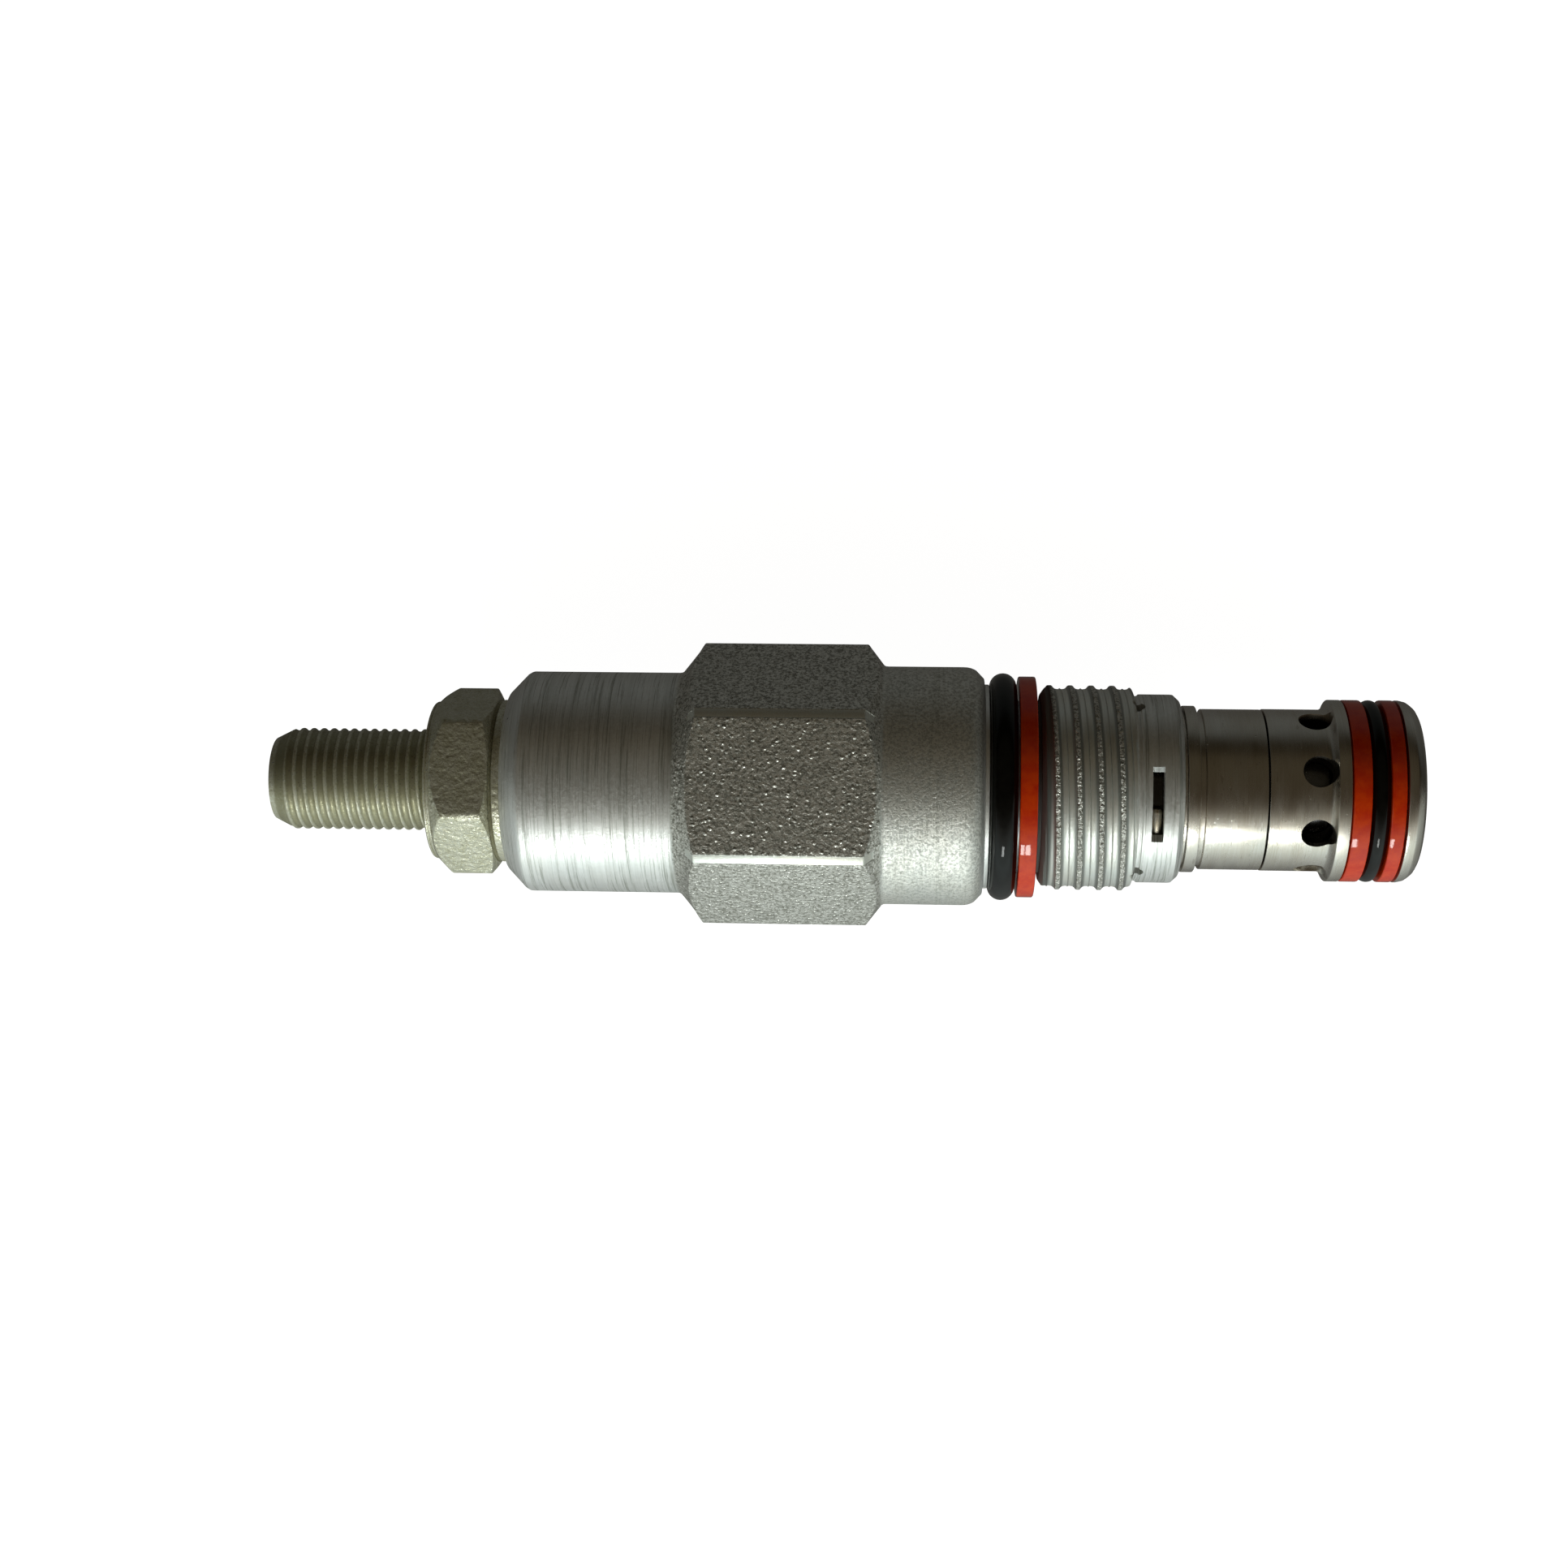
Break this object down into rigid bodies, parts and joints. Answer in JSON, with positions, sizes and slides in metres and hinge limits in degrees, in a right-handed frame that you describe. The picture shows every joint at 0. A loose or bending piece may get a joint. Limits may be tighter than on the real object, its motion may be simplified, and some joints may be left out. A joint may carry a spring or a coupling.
{
  "type": "hydraulic relief cartridge valve",
  "caption": "Screw-in pilot-operated relief cartridge valve with hexagon body, adjusting screw, lock nut and floating nose sleeve.",
  "frame": {"origin": "on the valve's axis, halfway along the overall length", "axes": "+X along the valve's axis towards the nose, +Z square to the upper hexagon flat; the valve lies on the opposite flat, at -Z"},
  "size_m": [0.1098, 0.0272, 0.024],
  "materials": {
    "zinc_plated_body": "turned and blasted, clear zinc plating",
    "yellow_zinc": "pale yellow zinc plating",
    "machined_sleeve_steel": "bare satin-turned steel",
    "hardened_steel": "ground",
    "spring_steel": "drawn wire",
    "seal_rubber": "glossy with oil",
    "backup_ring_plastic": "glossy with oil",
    "screen_mesh": "woven fine wire"
  },
  "bodies": {
    "body": {"valve_body": "zinc_plated_body", "body_oring": "seal_rubber", "body_backup_ring": "backup_ring_plastic", "retaining_wire": "spring_steel", "pilot_seat": "hardened_steel", "pilot_seat_oring": "seal_rubber", "pilot_seat_backup_ring": "backup_ring_plastic"},
    "adjust_plunger": {"adjust_piston": "machined_sleeve_steel", "adjust_piston_oring": "seal_rubber", "adjust_piston_backup_ring": "backup_ring_plastic"},
    "screw": {"adjusting_screw": "yellow_zinc"},
    "washer": {"lock_washer": "yellow_zinc"},
    "nut": {"lock_nut": "yellow_zinc"},
    "poppet": {"pilot_poppet": "hardened_steel", "pilot_spring_guide": "machined_sleeve_steel", "pilot_spring": "spring_steel"},
    "sleeve": {"sleeve_adapter": "machined_sleeve_steel", "main_sleeve": "machined_sleeve_steel", "nose_backup_ring_inner": "backup_ring_plastic", "nose_oring": "seal_rubber", "nose_backup_ring_outer": "backup_ring_plastic", "main_spring": "spring_steel"},
    "piston": {"main_piston": "hardened_steel", "orifice_plug": "hardened_steel", "filter_screen": "screen_mesh", "screen_retaining_ring": "spring_steel"}
  },
  "joints": [
    {"name": "adjust_piston_slide", "type": "slide", "parent": "body", "child": "adjust_plunger", "axis": [1, 0, 0], "range_m": [-0.001, 0.004], "deforming": ["pilot_spring"]},
    {"name": "adjusting_screw_turn", "type": "hinge", "parent": "adjust_plunger", "child": "screw", "pos_m": [-0.0383, 0, 0], "axis": [1, 0, 0], "range_deg": [-360, 1440]},
    {"name": "lock_washer_slide", "type": "slide", "parent": "body", "child": "washer", "axis": [1, 0, 0], "range_m": [-0.002, 0]},
    {"name": "lock_nut_turn", "type": "hinge", "parent": "washer", "child": "nut", "pos_m": [-0.0359, 0, 0], "axis": [1, 0, 0], "range_deg": [-720, 0]},
    {"name": "pilot_poppet_lift", "type": "slide", "parent": "body", "child": "poppet", "axis": [-1, 0, 0], "range_m": [0, 0.001], "stiffness_N_per_m": 200, "springref_m": -0.003, "deforming": ["pilot_spring"]},
    {"name": "sleeve_swivel", "type": "hinge", "parent": "body", "child": "sleeve", "pos_m": [0.037, 0, 0], "axis": [1, 0, 0], "continuous": true},
    {"name": "main_piston_lift", "type": "slide", "parent": "sleeve", "child": "piston", "axis": [-1, 0, 0], "range_m": [0, 0.004], "stiffness_N_per_m": 300, "springref_m": -0.004, "deforming": ["main_spring"]}
  ],
  "couplings": [
    {"joint": "adjusting_screw_turn", "follows": "adjust_piston_slide", "rad_per_m": 6283.2},
    {"joint": "lock_nut_turn", "follows": "lock_washer_slide", "rad_per_m": 6283.2}
  ]
}
